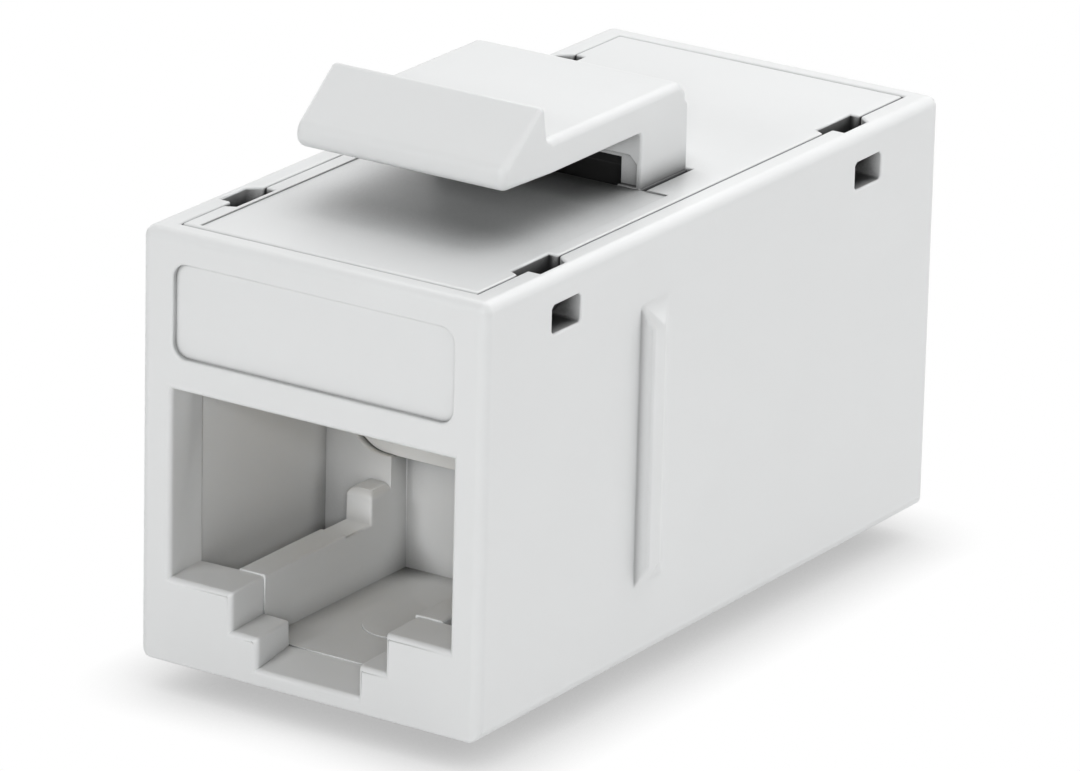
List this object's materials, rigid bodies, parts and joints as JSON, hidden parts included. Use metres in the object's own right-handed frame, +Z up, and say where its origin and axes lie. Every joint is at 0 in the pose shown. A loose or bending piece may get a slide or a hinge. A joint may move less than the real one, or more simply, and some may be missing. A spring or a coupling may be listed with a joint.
{
  "type": "keystone coupler",
  "caption": "Inline modular network coupler with a port at each end, a clipped-in cover and a springy release latch, made to snap into a keystone panel opening.",
  "frame": {"origin": "on the surface that the coupler stands on, under the middle of its length and width", "axes": "+X across the ports, +Y from the front port to the rear port, +Z up from the fixed catch to the latch"},
  "size_m": [0.0156, 0.03, 0.0219],
  "materials": {
    "shell": "satin",
    "carrier": "satin",
    "contact": "gold plated",
    "board": "solder mask"
  },
  "bodies": {
    "coupler": {"housing": "shell", "top_cover": "shell", "circuit_board": "board", "front_contact_carrier": "carrier", "rear_contact_carrier": "carrier", "front_contact_1": "contact", "front_contact_2": "contact", "front_contact_3": "contact", "front_contact_4": "contact", "front_contact_5": "contact", "front_contact_6": "contact", "front_contact_7": "contact", "front_contact_8": "contact", "rear_contact_1": "contact", "rear_contact_2": "contact", "rear_contact_3": "contact", "rear_contact_4": "contact", "rear_contact_5": "contact", "rear_contact_6": "contact", "rear_contact_7": "contact", "rear_contact_8": "contact"},
    "release_latch": {"latch": "shell"}
  },
  "joints": [
    {"name": "latch_flex", "type": "hinge", "parent": "coupler", "child": "release_latch", "pos_m": [0, -0.00145, 0.01997], "axis": [1, 0, 0], "range_deg": [0, 12], "stiffness_Nm_per_rad": 0.5}
  ]
}
